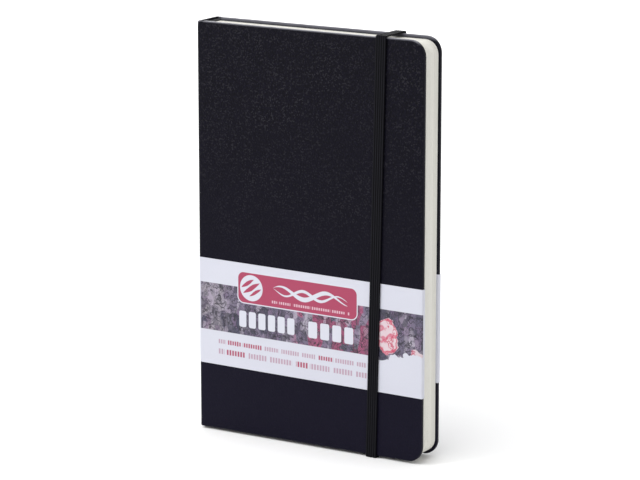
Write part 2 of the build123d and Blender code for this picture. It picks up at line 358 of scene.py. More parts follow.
corner_xs = [BLOCK_FORE_X - LEAF_R + LEAF_R * math.sin(a) for a in reversed(quarter(8))]
leaf_xs = corner_xs + [45.0, 20.0, -5.0, -25.0] + [-36.0 - 1.7 * k for k in range(15)]


def merged(parts):
    """Several solids' points and faces as one."""
    points, faces = [], []
    for part_points, part_faces in parts:
        faces += [tuple(i + len(points) for i in face) for face in part_faces]
        points += part_points
    return points, faces


def section(name, material):
    """A sewn section: nested folded sheets, each one bent round at the spine."""
    low, high = box_mm(name)
    middle, pitch = (low.y + high.y) / 2, (high.y - low.y) / (2 * SHEETS)
    half = pitch * 0.48       # neighbouring leaves almost touch
    fold_x = BLOCK_X + (high.y - low.y) / 2 + 0.02
    parts, tone = [], []
    for depth in range(SHEETS):
        radius = (SHEETS - 0.5 - depth) * pitch
        fore = [random.uniform(-0.06, 0.05) for _ in range(2)]
        lift = random.uniform(-0.04, 0.04)
        leg = [(x, middle - radius) for x in leaf_xs]
        fold = [(fold_x - radius * math.sin(a), middle - radius * math.cos(a))
                for a in (math.pi * k / 8 for k in range(9))]
        path = leg + fold + [(x, middle + radius) for x, _ in reversed(leg)]
        loops = []
        for n, ((x, y), (nx, ny)) in enumerate(zip(path, normals_2d(path))):
            bottom, top = leaf_reach(x, lift)
            x += fore[0 if n < len(path) / 2 else 1] * ease(x, 0, BLOCK_FORE_X)
            dx, dy = nx * half, ny * half
            loops.append([(x + dx, y + dy, bottom), (x + dx, y + dy, top),
                          (x - dx, y - dy, top), (x - dx, y - dy, bottom)])
        parts.append(loft(loops))
        tone += [random.random()] * (4 * len(loops))
    points, faces = merged(parts)
    return add_mesh(name.replace("section", "leaves_of_section"), points, faces, material,
                    {"tone": tone}, sharp=60)


# ---- elastic ----
def arc(centre, radius, start, end, steps=8):
    """(y, z) points round an arc, angles in degrees from +y towards +z."""
    out = []
    for k in range(steps + 1):
        a = math.radians(start + (end - start) * k / steps)
        out.append((centre[0] + radius * math.cos(a), centre[1] + radius * math.sin(a)))
    return out


def strap(name, path, middle, thickness, material):
    """Ribbed elastic along (y, z) points. middle gives its x; thickness may change along it."""
    ribs, across, groove = 5, 50, 0.16
    loops, ridges = [], []
    for n, ((y, z), (ny, nz)) in enumerate(zip(path, normals_2d(path))):
        height = thickness(n) if callable(thickness) else thickness
        loop = []
        for side in (1, -1):
            for k in range(across + 1):
                u = side * (k / across * 2 - 1)
                edge = math.sqrt(max(0.0, 1 - abs(u) ** 14))
                rib = abs(math.sin(math.pi * ribs / 2 * (u + 1))) ** 0.6
                v = side * (height / 2 - groove * (1 - rib)) * edge
                if abs(u) < 1 or side == 1:
                    loop.append((middle(z) + u * ELASTIC_WIDTH / 2, y + ny * v, z + nz * v))
                    ridges.append(rib)
        loops.append(loop)
    return add_mesh(name, *loft(loops), material, {"rib": ridges}, sharp=75)


# ---- node helpers ----
class Value:
    """A number or a socket in a material, with arithmetic that adds Math nodes."""

    def __init__(self, paint, socket):
        self.paint, self.socket = paint, socket

    def of(self, operation, *others):
        node = self.paint.node("Math", self, *others, operation=operation)
        return Value(self.paint, node.outputs[0])

    def __rsub__(self, other):
        return (self * -1) + other

    def below(self, edge, soft=0.08):
        """1 where this is under edge and 0 over it, with a soft step."""
        if isinstance(edge, Value):
            return (self - edge).below(0.0, soft)
        node = self.paint.node("MapRange", self, edge - soft, edge + soft, 1.0, 0.0,
                               interpolation_type="SMOOTHSTEP")
        return Value(self.paint, node.outputs[0])

    def between(self, low, high, soft=0.08):
        return self.below(high, soft) * (1.0 - self.below(low, soft))


OPERATIONS = {
    "__add__": "ADD", "__sub__": "SUBTRACT", "__mul__": "MULTIPLY", "__truediv__": "DIVIDE",
    "max": "MAXIMUM", "min": "MINIMUM", "abs": "ABSOLUTE", "fract": "FRACT", "floor": "FLOOR",
    "sin": "SINE", "sqrt": "SQRT",
}
for method, operation in OPERATIONS.items():
    setattr(Value, method, functools.partialmethod(Value.of, operation))


class Paint:
    """One procedural material round a Principled shader."""

    def __init__(self, name, on_cad=False):
        self.material = bpy.data.materials.new(name)
        self.material.use_nodes = True
        self.tree = self.material.node_tree
        self.shader = self.tree.nodes["Principled BSDF"]
        if on_cad:
            self.place = self.scaled(self.node("TexCoord").outputs["Object"], 1 / MM)
        else:
            self.place = self.attribute("rest", "Vector").socket

    def node(self, kind, *items, **settings):
        """A new node with its settings made and its first inputs fed."""
        node = self.tree.nodes.new("ShaderNode" + kind)
        for key, value in settings.items():
            setattr(node, key, value)
        for slot, item in zip(node.inputs, items):
            self.feed(slot, item)
        return node

    def feed(self, slot, item):
        if isinstance(item, Value):
            self.tree.links.new(item.socket, slot)
        elif hasattr(item, "is_output"):
            self.tree.links.new(item, slot)
        else:
            slot.default_value = item

    def attribute(self, name, output="Fac"):
        return Value(self, self.node("Attribute", attribute_name=name).outputs[output])

    def scaled(self, vector, scale):
        node = self.node("Mapping", vector)
        node.inputs["Scale"].default_value = scale if hasattr(scale, "__len__") else (scale,) * 3
        return node.outputs[0]

    def split(self, vector):
        return [Value(self, out) for out in self.node("SeparateXYZ", vector).outputs]

    def joined(self, *parts):
        return self.node("CombineXYZ", *parts).outputs[0]

    def noise(self, size, detail=3.0, stretch=(1, 1, 1), place=None, rough=0.5):
        """Noise whose features are about size millimetres across."""
        place = self.place if place is None else place
        node = self.node("TexNoise", self.scaled(place, [s / size for s in stretch]))
        for key, value in (("Scale", 1.0), ("Detail", detail), ("Roughness", rough)):
            node.inputs[key].default_value = value
        return Value(self, node.outputs["Fac"])

    def cells(self, size, feature="F1", output="Distance", place=None, metric="EUCLIDEAN"):
        """Cells about size millimetres across."""
        place = self.scaled(self.place if place is None else place, 1 / size)
        node = self.node("TexVoronoi", place, feature=feature)
        if feature != "DISTANCE_TO_EDGE":
            node.distance = metric
        node.inputs["Scale"].default_value = 1.0
        return Value(self, node.outputs[output])

    def mix(self, amount, first, second):
        node = self.node("Mix", amount, data_type="RGBA")
        for slot, colour in ((node.inputs[6], first), (node.inputs[7], second)):
            self.feed(slot, (*colour, 1.0) if isinstance(colour, tuple) else colour)
        return node.outputs[2]

    def over(self, base, *layers):
        """base under layers of (amount, colour), the last one on top."""
        for amount, colour in layers:
            base = self.mix(amount, base, colour)
        return base

    def bumps(self, *layers):
        """Bump nodes in a row. Each layer is (height, millimetres high, strength)."""
        last = None
        for height, depth, strength in layers:
            node = self.node("Bump")
            node.inputs["Strength"].default_value = strength
            node.inputs["Distance"].default_value = depth * MM
            self.feed(node.inputs["Height"], height)
            if last is not None:
                self.tree.links.new(last, node.inputs["Normal"])
            last = node.outputs[0]
        self.tree.links.new(last, self.shader.inputs["Normal"])

    def finish(self, colour, roughness, specular=0.5, sheen=0.0):
        self.feed(self.shader.inputs["Base Color"], colour)
        self.feed(self.shader.inputs["Roughness"], roughness)
        self.shader.inputs["Specular IOR Level"].default_value = specular
        self.shader.inputs["Sheen Weight"].default_value = sheen
        return self.material


# ---- materials ----
def leather():
    """Black imitation leather: pebbled grain, softer and shinier along the worn edges; painted
    glints and painted shade in the grain, a painted floor reflection low down and a painted
    highlight on the head edge.
    """
    p = Paint("imitation_leather")
    wear = p.attribute("wear")
    x, y, z = p.split(p.place)
    swell = p.noise(45.0, 2.0)
    bent = p.noise(2.6, 2.0)
    drift = (p.noise(1.6, 2.0) - 0.5) * 0.9
    warped = p.joined(x + drift, y + drift, z + drift)
    pebbles = p.cells(0.80, "SMOOTH_F1", place=warped)
    own = p.split(p.cells(0.62, "F1", "Color", place=warped))
    creases = p.cells(1.3, "DISTANCE_TO_EDGE", place=warped)
    fine = p.noise(0.30, 3.0)
    patches = p.noise(30.0, 4.0)
    scuffs = p.noise(5.0, 5.0, stretch=(1, 1, 0.35))
    glint_patches = p.noise(22.0, 3.0)
    flat = 1.0 - wear
    # Three parts by height: a paler, bluer foot that fades out from 16 to 108 mm up, a painted
    # reflection of the floor; a grain that comes up from 50 to 200 mm, and with it painted glints
    # and painted shade between the pebbles that stand in for light from above; and the head edge,
    # the only edge with a pale line, which is a painted highlight.
    floor_reflection = z.below(62.0, 46.0)
    grain_and_top_light = (1.0 - z.below(125.0, 75.0)) * 0.95 + 0.12
    # ends marks the head edge, where the pale line is a painted highlight.
    ends = 1.0 - z.below(HEAD_Z - 1.6, 1.2)
    # painted glints: random pebbles lighter, in broad patches, away from the edges and more toward
    # the head
    glints = (1.0 - own[0].below(0.84, 0.08)) * (1.0 - glint_patches.below(0.5, 0.5)) * flat * grain_and_top_light
    tint = p.over(
        p.mix(patches, (0.0020, 0.0017, 0.0062), (0.0036, 0.0029, 0.0096)),
        # painted reflection of the floor: the lower part paler and bluer
        (floor_reflection * 0.4, (0.0066, 0.0052, 0.0185)),
        # painted shade in the hollows between pebbles, more of it toward the head
        ((1.0 - pebbles.below(0.42, 0.18)) * 0.6 * grain_and_top_light, (0.0008, 0.0008, 0.0020)),
        (glints, (0.024, 0.023, 0.029)),
        (wear * scuffs.below(0.62, 0.2) * 0.3, (0.026, 0.026, 0.033)),
        # painted highlight: a pale line round the head edge
        (wear * ends * (1.0 - scuffs * 0.5), (0.200, 0.200, 0.230)),
    )
    rough = patches * 0.10 + 0.36 + pebbles * 0.14 - wear * 0.15
    p.bumps(
        (swell, 0.5, 0.25),
        (bent, 0.12, 0.5),
        ((1.0 - creases.below(0.09, 0.08)) * flat, 0.08, 0.6),
        ((1.0 - pebbles) * flat * grain_and_top_light, 0.22, 0.9),
        (fine * flat, 0.03, 0.5),
    )
    return p.finish(tint, rough, specular=0.085)


def drawing_paper():
    """Ivory uncoated paper, one tone of its own for each folded sheet."""
    p = Paint("drawing_paper")
    tone = p.attribute("tone")
    fibre = p.noise(0.5, 4.0, stretch=(1, 1, 0.6))
    cloud = p.noise(18.0, 3.0)
    colour = p.over(
        p.mix(tone, (0.68, 0.667, 0.615), (0.755, 0.746, 0.698)),
        (fibre.below(0.42, 0.1) * 0.22, (0.55, 0.53, 0.465)),
        (cloud * 0.18, (0.77, 0.76, 0.71)),
    )
    p.bumps((fibre, 0.03, 0.35), (p.noise(0.16, 2.0), 0.012, 0.3))
    return p.finish(colour, fibre * 0.15 + 0.78, specular=0.25)


def endpaper():
    """Heavier white paper of the pastedowns and flyleaves."""
    p = Paint("endpaper")
    fibre = p.noise(0.45, 4.0)
    cloud = p.noise(22.0, 3.0)
    colour = p.mix(cloud, (0.75, 0.745, 0.715), (0.81, 0.805, 0.785))
    colour = p.mix(fibre.below(0.40, 0.1) * 0.18, colour, (0.66, 0.645, 0.59))
    p.bumps((cloud, 0.06, 0.2), (fibre, 0.03, 0.3))
    return p.finish(colour, fibre * 0.12 + 0.68, specular=0.3)


def board(on_cad):
    """Grey-brown bookbinder's board with flecks of fibre."""
    p = Paint("cover_board_card" if on_cad else "cover_board", on_cad)
    fibre = p.noise(0.6, 5.0, stretch=(1, 1, 0.4))
    flecks = p.cells(1.4).below(0.10, 0.05)
    colour = p.mix(fibre, (0.20, 0.175, 0.14), (0.36, 0.33, 0.27))
    colour = p.mix(flecks * 0.6, colour, (0.10, 0.085, 0.07))
    p.bumps((fibre, 0.08, 0.5))
    return p.finish(colour, fibre * 0.1 + 0.82, specular=0.2)


def gauze():
    """Open cotton weave pressed into glue."""
    p = Paint("spine_gauze")
    x, y, z = p.split(p.place)
    weave = (y * (math.tau / 0.9)).sin().abs().max((z * (math.tau / 0.9)).sin().abs())
    blot = p.noise(4.0, 3.0)
    colour = p.mix(weave.below(0.75, 0.15), (0.74, 0.72, 0.66), (0.44, 0.40, 0.32))
    colour = p.mix(blot * 0.4, colour, (0.60, 0.55, 0.43))
    p.bumps((weave, 0.12, 0.7), (blot, 0.1, 0.3))
    return p.finish(colour, blot * 0.3 + 0.5, specular=0.4)


def thread():
    """Waxed linen thread, two plies twisted."""
    p = Paint("sewing_thread")
    x, y, z = p.split(p.place)
    twist = ((z + y * 0.8) * (math.tau / 0.55)).sin()
    fuzz = p.noise(0.12, 3.0)
    colour = p.mix(twist * 0.5 + 0.5, (0.50, 0.47, 0.40), (0.76, 0.74, 0.67))
    p.bumps((twist, 0.04, 0.6), (fuzz, 0.02, 0.5))
    return p.finish(colour, fuzz * 0.2 + 0.5, specular=0.4)


def headband_cloth():
    """Black woven bead."""
    p = Paint("headband_cloth")
    x, y, z = p.split(p.place)
    twist = ((y + z * 0.7 + x * 0.3) * (math.tau / 0.5)).sin() * 0.5 + 0.5
    fuzz = p.noise(0.1, 3.0)
    colour = p.mix(twist, (0.006, 0.006, 0.008), (0.034, 0.033, 0.038))
    p.bumps((twist, 0.05, 0.6), (fuzz, 0.02, 0.5))
    return p.finish(colour, fuzz * 0.2 + 0.6, specular=0.3, sheen=0.1)


def elastic():
    """Black woven elastic: lengthwise ribs crossed by fine weft, with painted highlights on the rib
    crests and painted shade in the grooves.
    """
    p = Paint("black_elastic")
    x, y, z = p.split(p.place)
    rib = p.attribute("rib")
    along = (z + y) * (math.tau / 0.42) + (x * (math.tau / 0.5)).sin() * 1.4
    weft = along.sin() * 0.5 + 0.5
    fuzz = p.noise(0.14, 3.0)
    patch = p.noise(9.0, 3.0)
    colour = p.over(
        p.mix(weft, (0.0014, 0.0014, 0.0026), (0.0046, 0.0045, 0.0070)),
        (fuzz.below(0.36, 0.06) * 0.3, (0.014, 0.014, 0.019)),
        # painted highlight on the rib crests
        ((1.0 - rib.below(0.93, 0.05)) * 0.7, (0.0150, 0.0150, 0.0200)),
        # painted shade in the grooves between ribs
        ((1.0 - rib) * 0.9, (0.0007, 0.0007, 0.0011)),
        (patch * 0.25, (0.002, 0.002, 0.003)),
    )
    p.bumps((rib, 0.10, 0.5), (weft * rib, 0.06, 0.6), (fuzz, 0.03, 0.5))
    return p.finish(colour, fuzz * 0.2 + 0.58, specular=0.085)


def rounded_box(u, v, centre, half, radius):
    """Distance outside a rounded box, negative inside."""
    dx = (u - centre[0]).abs() - (half[0] - radius)
    dy = (v - centre[1]).abs() - (half[1] - radius)
    far = (dx.max(0.0) * dx.max(0.0) + dy.max(0.0) * dy.max(0.0)).sqrt()
    return far + dx.max(dy).min(0.0) - radius


def circle(u, v, centre):
    return ((u - centre[0]) * (u - centre[0]) + (v - centre[1]) * (v - centre[1])).sqrt()


def greeked(p, u, v, line_v, height, start, end, word, pitch, seed):
    """Small blocks grouped like words, in place of a line of print, and a number for each word."""
    along = (u - start) / pitch
    drift = p.noise(8.0, 0.0, place=p.joined(u, seed * 7.0, 0.0)) * 0.9
    group = (u - start) / word + drift
    words = p.noise(1.0, 0.0, place=p.joined(group.floor() * 1.7, seed + 9.0, 0.0))
    grain = p.noise(1.0, 0.0, place=p.joined(along.floor() * 1.3, seed, 0.0))
    blocks = along.fract().between(0.12, 0.76, 0.10) * group.fract().below(0.84, 0.015)
    body = (v - line_v).abs().below((grain * 0.5 + 0.72) * (height / 2), 0.12)
    return blocks * body * u.between(start, end, 0.1), words


def contours(field, width):
    """Ink lines where field is half way between whole numbers."""
    return (field.fract() - 0.5).abs().below(width, 0.06)


def picture(p, u, v, flat):
    """A loose ink-and-wash patchwork in grey, mauve and pink, with brush strokes at the right."""
    bent = p.noise(9.0, 3.0, place=flat) - 0.5
    edge = p.noise(5.0, 3.0, place=flat) - 0.5
    wave = p.joined(u + bent * 3.4, v * 0.45 + edge * 1.6, 0.0)
    tone = p.split(p.cells(7.0, "F1", "Color", wave, "CHEBYCHEV"))
    part = p.split(p.cells(2.6, "F1", "Color", wave, "CHEBYCHEV"))
    form = p.noise(7.0, 2.0, place=flat)
    detail = p.noise(2.6, 2.0, place=p.joined(u + bent * 6.0, v + edge * 6.0, 7.0))
    wash = p.noise(4.0, 4.0, place=flat, rough=0.6)
    rosy = (1.0 - tone[2].below(0.45, 0.03)) * u.between(58.0, 101.0, 4.0)
    hatch = ((u * 0.8 + v * 0.6 + bent * 7.0) * (math.tau / 0.9)).sin().below(-0.3, 0.3)
    art = p.over(
        p.mix(tone[0], (0.040, 0.044, 0.080), (0.215, 0.175, 0.260)),
        (tone[1].below(0.24, 0.05) * 0.8, (0.27, 0.24, 0.30)),
        (u.below(18.0, 6.0) * form.below(0.52, 0.05) * 0.7, (0.30, 0.27, 0.31)),
        (part[2].below(0.30, 0.08) * 0.5, (0.20, 0.13, 0.23)),
        (rosy * 0.9, (0.34, 0.070, 0.155)),
        ((1.0 - part[0].below(0.84, 0.04)) * 0.6, (0.42, 0.38, 0.46)),
        (part[1].below(0.22, 0.06) * 0.6, (0.034, 0.032, 0.050)),
        (wash.below(0.43, 0.08) * 0.55, (0.050, 0.047, 0.072)),
        (contours(form * 6.0, 0.07) * 0.85, (0.018, 0.016, 0.026)),
        (contours(detail * 3.6, 0.06) * 0.75, (0.018, 0.016, 0.026)),
        (hatch * tone[1] * 0.5, (0.024, 0.022, 0.034)),
    )
    patch = circle(u * 1.25, v * 0.88, (138.0, 55.6)) + edge * 6.0 + bent * 3.0
    pink = p.over(
        p.mix(wash, (0.60, 0.42, 0.46), (0.66, 0.60, 0.64)),
        (contours(form * 3.0 - v * 0.11, 0.11) * 0.8, (0.55, 0.110, 0.180)),
        (contours(detail * 2.4 + u * 0.10, 0.10) * 0.85, (0.48, 0.060, 0.120)),
        ((patch - 7.1).abs().below(0.35, 0.3) * 0.9, (0.50, 0.055, 0.115)),
    )
    corner = (circle(u, v, (128.0, 53.5)) + edge * 9.0).below(4.6, 0.3)
    return p.over(art, (patch.below(7.8, 0.25), pink), (corner * 0.9, pink))


# Places in the print, in millimetres: u along the paper from the spine edge, v above the floor.
WHITE, CRIMSON = (0.590, 0.598, 0.672), (0.350, 0.044, 0.100)
LABEL_MIDDLE, LABEL_HALF, LABEL_R = (58.4, 76.6), (34.6, 7.8), 3.2
DISC_MIDDLE, DISC_R = (31.6, 76.7), 6.7
DAB_SLANT = (0.84, 0.54)
DABS = (                  # to the side, along, half length, half thickness
    (3.0, -0.7, 4.4, 0.95), (0.0, 0.0, 5.9, 1.15), (-3.0, 0.8, 4.2, 0.8),
)
SWASH_U, SWASH_LENGTH = 44.0, 44.0
SWASHES = (               # waves per millimetre in radians, phase, height, middle, half thickness
    (0.235, 0.4, 2.5, 77.4, 1.25), (0.31, 2.3, 1.9, 77.2, 0.85),
)
TITLE_V, TITLE_HALF = 60.1, 4.2
TITLE_WORDS = ((23.9, 58.1, 5.70), (64.6, 92.4, 6.95))    # start, end, pitch
TEXT_START, TEXT_END = 11.6, 104.0
TEXT_LINES = (            # middle, height, pitch of blocks, length of a word, seed
    (46.4, 2.3, 1.38, 10.5, 1.0), (41.2, 2.8, 1.62, 12.5, 2.0),
)
PICTURE_LOW, PICTURE_HIGH = 51.8, 76.4


def label_face(p, u, v, fibre, ragged):
    """Crimson label: a disc with three brush dabs, two crossing brush lines, a row of blocks."""
    wine = p.mix(fibre.below(0.45, 0.1) * 0.12, CRIMSON, (0.32, 0.045, 0.10))
    wine = p.mix(circle(u, v, DISC_MIDDLE).below(DISC_R), wine, WHITE)
    across, up = u - DISC_MIDDLE[0], v - DISC_MIDDLE[1]
    along = across * DAB_SLANT[0] + up * DAB_SLANT[1]
    side = up * DAB_SLANT[0] - across * DAB_SLANT[1] + ragged * 0.8
    for offset, shift, half, thick in DABS:
        reach = (along - shift) / half
        stroke = (side - offset).abs() - (1.0 - reach * reach) * thick
        wine = p.mix(stroke.below(0.0), wine, CRIMSON)
    part = u - SWASH_U
    for speed, phase, high, middle, thick in SWASHES:
        swash = (v - (part * speed + phase).sin() * high - middle).abs()
        taper = (part * (math.pi / SWASH_LENGTH)).sin() * thick
        body = swash.below(taper + ragged * 0.5, 0.12)
        wine = p.mix(body * u.between(SWASH_U + 0.6, SWASH_U + 43.6, 0.3), wine, WHITE)
    under, _ = greeked(p, u, v, 71.3, 1.4, 43.6, 88.8, 9.3, 1.30, 3.0)
    return p.mix(under * 0.7, wine, (0.72, 0.55, 0.62))


def band_paper():
    """Coated white paper with a generic printed label, picture strip and lines of blocks."""
    p = Paint("band_paper")
    u, v, printed = p.split(p.attribute("print", "Vector").socket)
    flat = p.joined(u, v, 0.0)
    fibre = p.noise(0.6, 3.0)
    cloud = p.noise(25.0, 3.0)
    colour = p.mix(cloud, (0.555, 0.563, 0.636), WHITE)
    colour = p.mix(fibre.below(0.42, 0.1) * 0.12, colour, (0.50, 0.50, 0.57))
    face = printed.between(0.9, 2.0, 0.05)

    # picture strip; its lower edge is torn, and rises toward the fore-edge
    ragged = p.noise(6.0, 3.0, place=flat) - 0.5
    rise = u.between(111.5, 135.0, 5.0) * (ragged * 12.0 + 3.0)
    rise = rise - u.between(103.0, 112.0, 1.0) * 1.5
    strip = u.between(1.2, 130.4, 0.1) * v.below(PICTURE_HIGH, 0.1)
    strip = strip * (rise + PICTURE_LOW - v).below(0.0, 0.15)
    colour = p.mix(strip * face, colour, picture(p, u, v, flat))

    # label with a white rim
    label = rounded_box(u, v, LABEL_MIDDLE, LABEL_HALF, LABEL_R)
    colour = p.mix(label.below(0.55, 0.08) * face, colour, WHITE)
    colour = p.mix(label.below(0.0) * face, colour, label_face(p, u, v, fibre, ragged))

    # two words of bold white blocks in place of a title
    for start, end, pitch in TITLE_WORDS:
        across = (((u - start) / pitch).fract() - 0.44) * pitch
        block = rounded_box(across, v, (0.0, TITLE_V), (pitch * 0.37, TITLE_HALF), 1.0)
        row = u.between(start, end, 0.08)
        colour = p.mix(block.below(0.0) * row * face, colour, WHITE)

    # two lines of small blocks, some words of them bold
    for line_v, height, pitch, word, seed in TEXT_LINES:
        blocks, words = greeked(
            p, u, v, line_v, height, TEXT_START, TEXT_END, word, pitch, seed
        )
        bold = words.below(0.47, 0.02)
        ink = p.mix(bold, (0.36, 0.15, 0.23), CRIMSON)
        colour = p.mix(blocks * (bold * 0.3 + 0.65) * face, colour, ink)

    p.bumps((cloud, 0.10, 0.2), (fibre, 0.015, 0.25))
    return p.finish(colour, fibre * 0.12 + 0.36, specular=0.35)


leather_paint = leather()
paper_paint = drawing_paper()
end_paint = endpaper()
elastic_paint = elastic()
band_paint = band_paper()


def piece(obj, slot, *nodes, ride=None, bend=None):
    """Puts a piece on its body, or, when bend is given, bakes its place into its mesh; hides the
    CAD nodes it stands for.
    """
    if bend:
        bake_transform(obj)
    else:
        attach(obj, ride)
    if nodes:
        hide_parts(*nodes)
    return obj


# ---- case: coverings, boards and endpapers ----
SLOT_INSET = 8.0          # slots in the back cover, from the head or tail edge
SLOT_HALF = 0.56          # half of a slot's height
BED_DEPTH = 0.56          # bed of the elastic's glued end in the back board
SIDES = {"front": False, "back": True}
anchors = {place: box_mm(f"elastic_{place}_end") for place in ("head", "tail")}


def bend_zone(x0, x1):
    """The two ends of a bend across the spine edge, in metres."""
    return Vector((x0, 0, 0)) * MM, Vector((x1, 0, 0)) * MM


def slot_boxes():
    """The slots in the back cover and the beds of the elastic's glued ends."""
    boxes = []
    for place, (low, high) in anchors.items():
        at = HEAD_Z - SLOT_INSET if place == "head" else TAIL_Z + SLOT_INSET
        left, right, deep = low.x - 0.06, high.x + 0.06, low.y - 0.02
        bottom, top = at - SLOT_HALF, at + SLOT_HALF
        boxes.append(((left, deep, bottom), (right, FACE_Y + 0.4, top)))
        ends = (low.z - 0.1, top) if place == "head" else (bottom, high.z + 0.1)
        boxes.append(((left, deep, ends[0]), (right, low.y + BED_DEPTH, ends[1])))
    return boxes


def inner_board(side, back):
    """The stiff board inside a cover's covering."""
    outside = SKIN + 0.02 - FACE_Y
    depths = [(0.9, 0.0), (0.40, 0.5), (0.40, 1.1), (0.62, 1.31)]
    return plate(
        f"{side}_board", back, board_paint, FORE_X, TAIL_Z, HEAD_Z, CORNER_R,
        [(inset, outside + depth) for inset, depth in depths],
        [BOARD_X + 0.05, -55.0, -25.0, 0.0, 25.0, 52.0],
    )


def pastedown_sheet(side, back):
    """The pastedown: it sinks where the turned-in covering under it ends."""
    top = paste_high.y
    under, sunk, half_sunk = top - 0.14, top - 0.13, top - 0.065
    step = TURN_IN - (FORE_X - paste_high.x)
    return plate(
        f"{side}_pastedown_sheet", back, end_paint, paste_high.x, paste_low.z, paste_high.z, LEAF_R,
        [(FACE_MARGIN, sunk), (step + 0.5, sunk), (step - 0.1, half_sunk), (step - 0.8, top),
         (0.06, top), (0.0, top - 0.05), (0.0, under), (FACE_MARGIN, under - 0.2)],
        [BOARD_X + 0.02, -55.0, -25.0, 0.0, 25.0, 44.0],
    )


def joint_paper(side, sign):
    """Endpaper over the joint, from the block across to the cover's inner face."""
    length = BOARD_X + 0.1 - BLOCK_X
    rise = FACE_Y - COVER_T - BLOCK_Y - 0.10
    path = [(BLOCK_X - 0.02 + length * t, sign * (BLOCK_Y + 0.08 + rise * ease(t, 0, 1)))
            for t in (k / 12 for k in range(13))]
    return sheet(f"{side}_joint_paper", path, 0.10,
                 lambda n, x, y: (paste_low.z, paste_high.z), end_paint)


def flyleaf_sheet(side, sign):
    y = sign * (BLOCK_Y - 0.1)
    path = [(x, y) for x in leaf_xs + [BLOCK_X + 0.9, BLOCK_X + 0.03]]
    return sheet(f"{side}_flyleaf_sheet", path, 0.15, lambda n, x, y: leaf_reach(x), end_paint)


JOINT = bend_zone(JOIN_X, JOINT_X)
piece(spine_covering("spine_covering", leather_paint), "imitation_leather", "spine_wrap",
      ride="book_spine")
board_paint = board(False)
for side, back in SIDES.items():
    sign = 1 if back else -1
    skin = covering(f"{side}_covering", back, leather_paint)
    card = inner_board(side, back)
    if back:
        boxes = slot_boxes()
        cut(skin, boxes[0::2])    # the covering has the slots only
        cut(card, boxes)
    piece(skin, "imitation_leather", f"{side}_cover_wrap",
          bend=("book_spine", f"{side}_cover", *JOINT))
    piece(card, "cover_board", f"{side}_cover_board", ride=f"{side}_cover")
    piece(pastedown_sheet(side, back), "endpaper", f"{side}_pastedown", ride=f"{side}_cover")
    piece(joint_paper(side, sign), "endpaper",
          bend=("book_spine", f"{side}_cover", *bend_zone(BLOCK_X, BOARD_X)))
    piece(flyleaf_sheet(side, sign), "endpaper", f"{side}_flyleaf",
          bend=("book_spine", f"{side}_endleaf", *bend_zone(BLOCK_X, BLOCK_X + 10)))

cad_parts["spine_strip"].data.materials.clear()
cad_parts["spine_strip"].data.materials.append(board(True))

# ---- block: sections, sewing, lining, headbands ----
BEND = 14.0               # length from the spine of the zone passed with each leaf as bend
LAG = 1.5                 # how far that zone's end is set across the book, for each unit along
LINING_STEPS = 20
STITCH_R = 0.12
STITCH_STATIONS = 6
STITCH_RUN = 12.0         # height of one stitch
BEAD_STEPS = 156
BEAD_PITCH = 0.5

section_names = sorted(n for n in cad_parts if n.startswith("section_"))
for number, node in enumerate(section_names, 1):
    sign = -1 if number <= len(section_names) / 2 else 1
    start = Vector((BLOCK_X, sign * BLOCK_Y, 0))
    end = start + Vector((BEND, sign * LAG * BEND, 0)) / (1 + LAG ** 2)
    piece(section(node, paper_paint), "drawing_paper", node,
          bend=("book_spine", f"leaves_{number:02d}", start * MM, end * MM))


def gauze_lining():
    """Gauze over the back of the block, with ragged ends."""
    random.seed(29)
    ragged = [random.uniform(0, 0.8) for _ in range(2 * LINING_STEPS)]
    middle = (lining_low.x + lining_high.x) / 2
    width = lining_high.y - lining_low.y - 0.06
    path = [(middle, lining_low.y + 0.03 + width * k / (LINING_STEPS - 1))
            for k in range(LINING_STEPS)]
    return sheet(
        "spine_gauze_lining", path, lining_high.x - lining_low.x - 0.1,
        lambda n, x, y: (lining_low.z + ragged[n], lining_high.z - ragged[n + LINING_STEPS]),
        gauze(),
    )


piece(gauze_lining(), "spine_gauze", "spine_lining", ride="book_spine")


def tube(path, radius, sides=6):
    """Loops round a line of points."""
    loops = []
    for n, point in enumerate(path):
        a, b = path[max(n - 1, 0)], path[min(n + 1, len(path) - 1)]
        turn = (b - a).normalized().to_track_quat("Z", "Y")
        loops.append([
            tuple(point + turn @ Vector((radius * math.cos(t), radius * math.sin(t), 0)))
            for t in (math.tau * k / sides for k in range(sides))
        ])
    return loft(loops)


def stitches():
    """Link stitches: a run up each fold, tied to the next section at its foot."""
    parts = []
    out_x = box_mm("sewing_threads")[1].x - STITCH_R - 0.02
    pitch = (lining_high.z - lining_low.z) / STITCH_STATIONS
    section_boxes = [box_mm(node) for node in section_names]
    middles = [(low.y + high.y) / 2 for low, high in section_boxes]
    for k in range(STITCH_STATIONS):
        centre = lining_low.z + pitch * (k + 0.5)
        z0, z1 = centre - STITCH_RUN / 2, centre + STITCH_RUN / 2
        for y, after in zip(middles, middles[1:] + [None]):
            path = [(0.5, z0 + 0.2), (0.12, z0 + 0.25), (0, z0 + 0.6), (0, centre),
                    (0, z1 - 0.6), (0.12, z1 - 0.25), (0.5, z1 - 0.2)]
            parts.append(tube([Vector((out_x + dx, y, z)) for dx, z in path], STITCH_R))
            if after is not None:
                link = [
                    (out_x - 0.02, y + (after - y) * t, z0 + 0.75 + 0.25 * math.sin(math.pi * t))
                    for t in (0, 0.25, 0.5, 0.75, 1)
                ]
                parts.append(tube([Vector(p) for p in link], STITCH_R * 0.8))
    return merged(parts)


piece(add_mesh("link_stitches", *stitches(), thread()), "sewing_thread", "sewing_threads",
      ride="book_spine")


